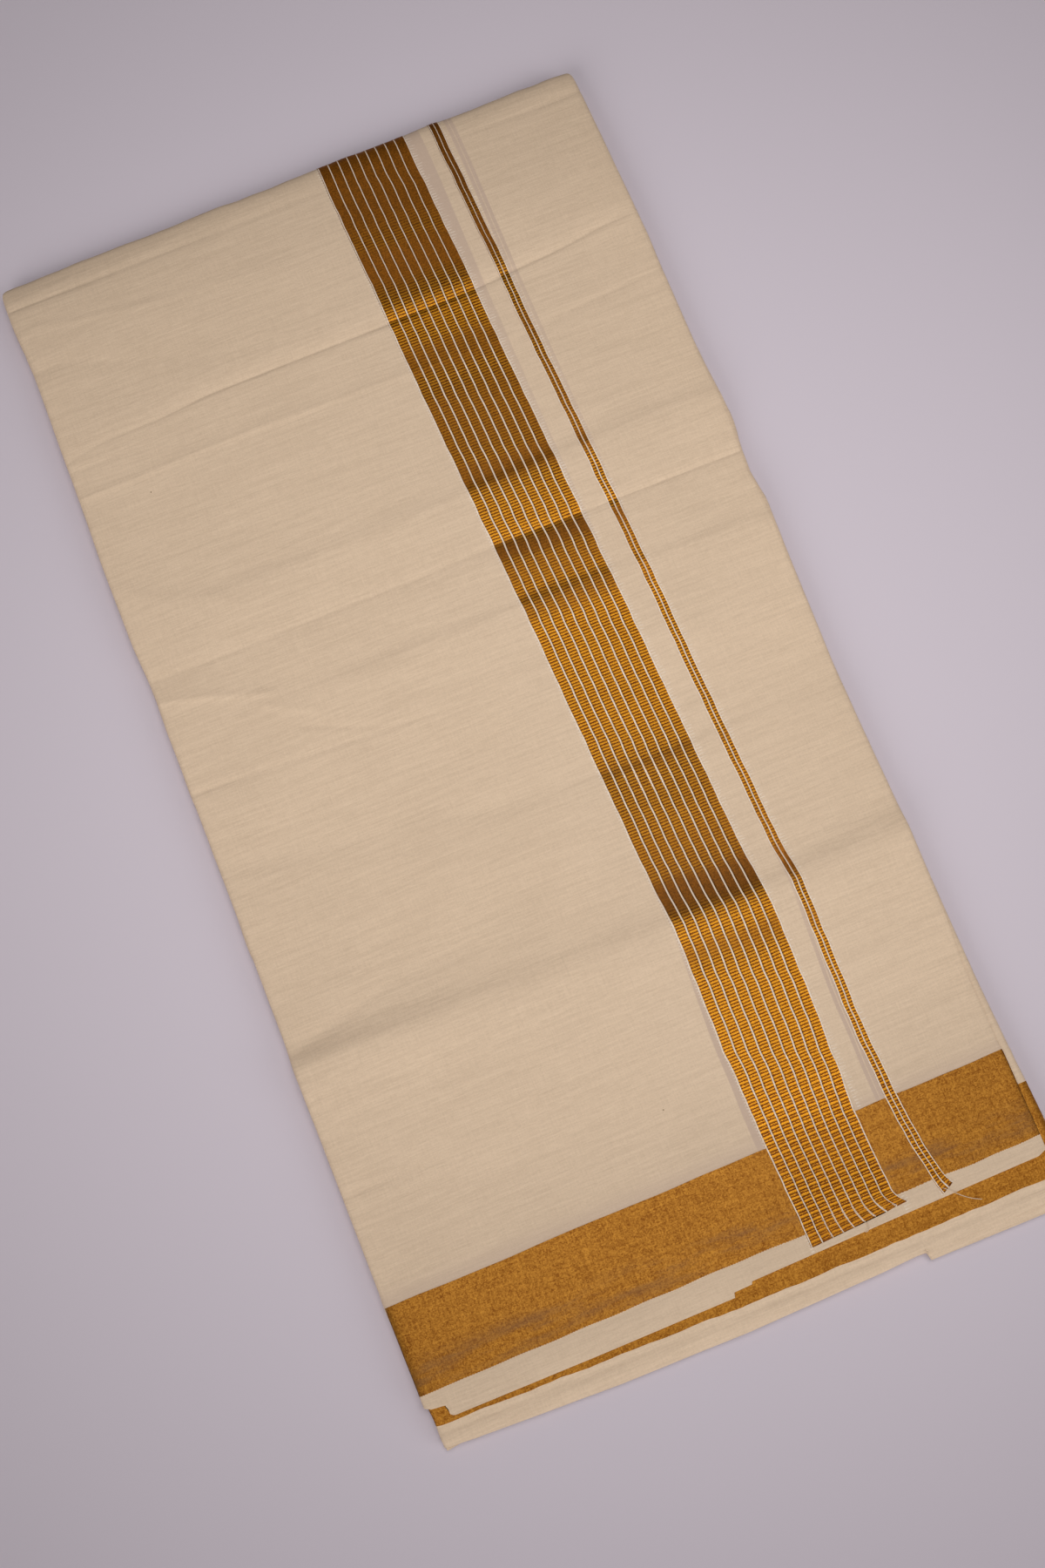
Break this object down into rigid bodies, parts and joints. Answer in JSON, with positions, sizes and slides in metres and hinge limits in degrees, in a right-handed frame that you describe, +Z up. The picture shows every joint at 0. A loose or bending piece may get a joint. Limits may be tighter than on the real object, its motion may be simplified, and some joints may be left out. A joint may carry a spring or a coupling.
{
  "type": "folded dhoti cloth",
  "caption": "Cream cotton dhoti with woven gold borders, folded flat into a thin oblong bundle that rests on its under ply.",
  "frame": {"origin": "on the floor, under the middle of the bundle's box", "axes": "+X across the bundle from fold to fold, with the wide gold border on its +X half; +Y along the bundle from the open end with the cut edges to the far fold; +Z up from the surface that it lies on"},
  "size_m": [0.32, 0.6216, 0.0138],
  "materials": {
    "cotton": "plain-woven unbleached cream cotton, matte, slightly see-through",
    "zari": "ribbed gold metallic thread, satin sheen, split by white cotton cords",
    "band_gold": "grainy matte gold thread woven across the cloth"
  },
  "bodies": {
    "root": {"top_panel": "cotton", "second_panel": "cotton", "inner_layers": "cotton", "under_panel": "cotton", "border_stripe_1": "zari", "border_stripe_2": "zari", "border_stripe_3": "zari", "border_stripe_4": "zari", "border_stripe_5": "zari", "border_stripe_6": "zari", "border_stripe_7": "zari", "border_stripe_8": "zari", "border_stripe_9": "zari", "line_stripe_1": "zari", "line_stripe_2": "zari", "end_band_left": "band_gold", "end_band_middle": "band_gold", "end_band_right": "band_gold", "second_end_band": "band_gold"}
  },
  "joints": []
}
